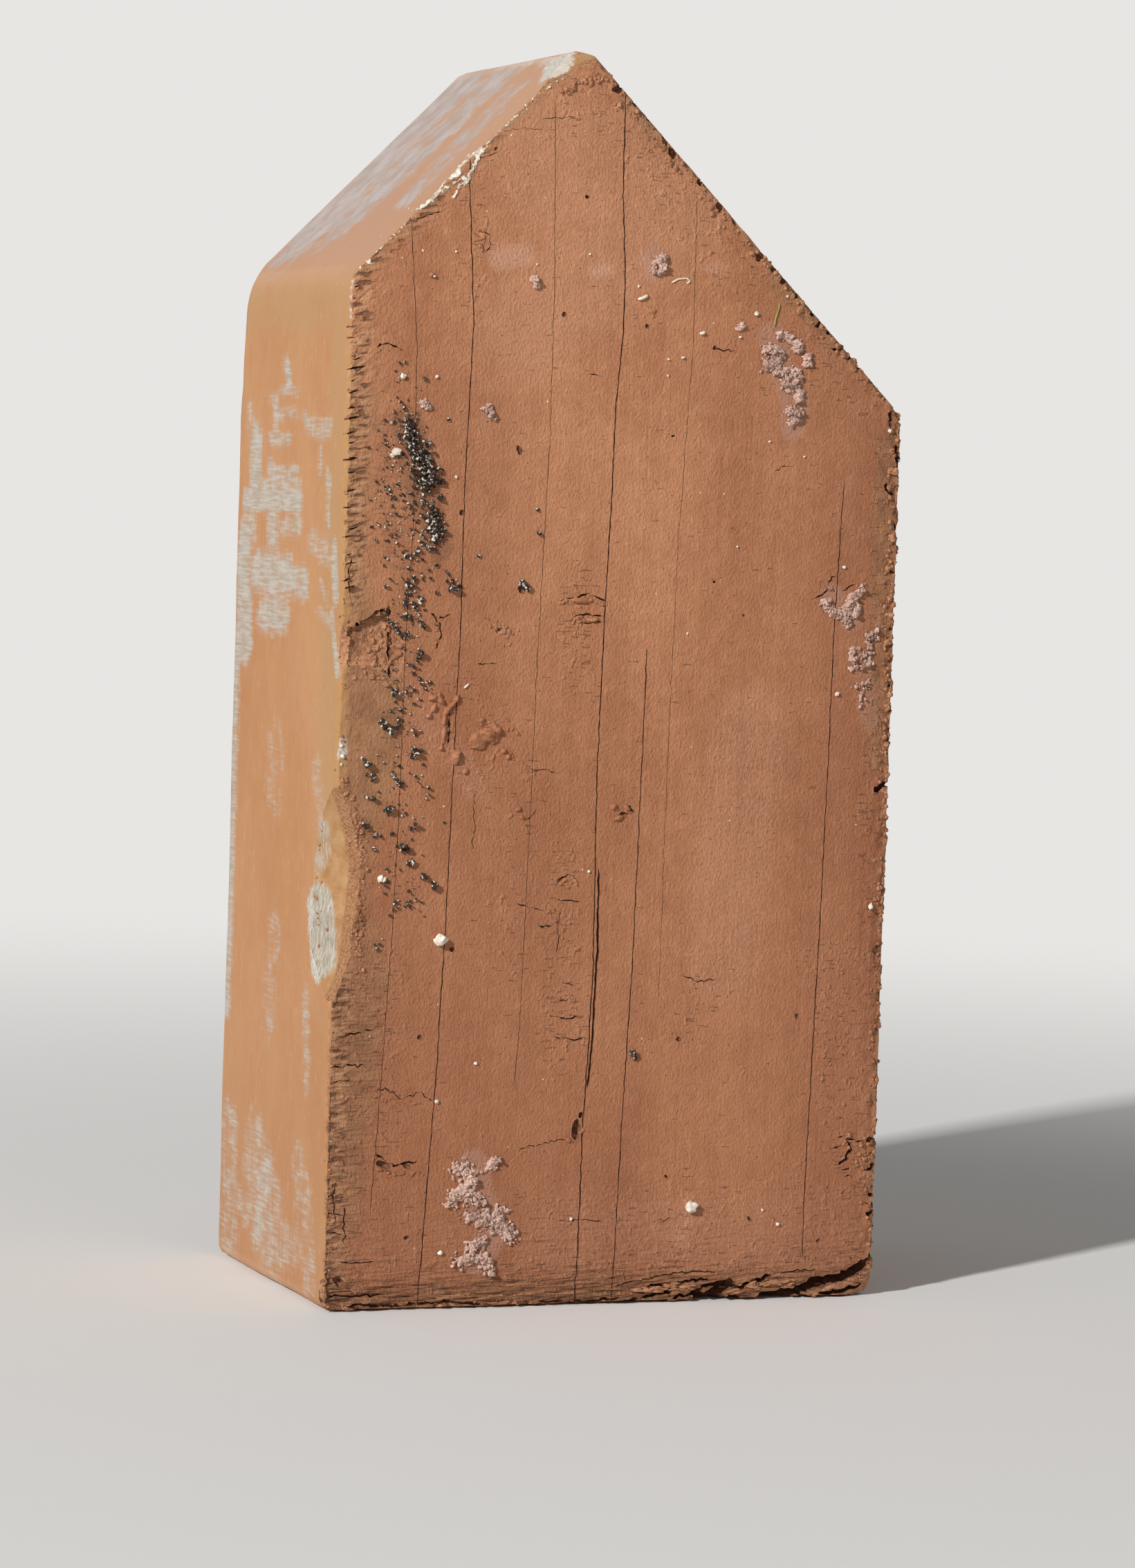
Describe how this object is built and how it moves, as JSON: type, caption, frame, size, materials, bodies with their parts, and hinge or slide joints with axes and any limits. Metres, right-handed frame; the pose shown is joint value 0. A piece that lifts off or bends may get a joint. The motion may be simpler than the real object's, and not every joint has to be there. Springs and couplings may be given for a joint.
{
  "type": "clay brick",
  "caption": "Solid fired clay brick with an off-centre pointed end, a worn crest, chipped arrises and drag lines along its face.",
  "frame": {"origin": "middle of the square end that the brick stands on", "axes": "+Z along the length towards the pointed end, +Y from the scored front bed face to the back bed face, +X across the width"},
  "size_m": [0.1024, 0.065, 0.216],
  "materials": {
    "fired_clay": "matt, fine sandy, unglazed"
  },
  "bodies": {
    "root": {"clay_brick": "fired_clay"}
  },
  "joints": []
}
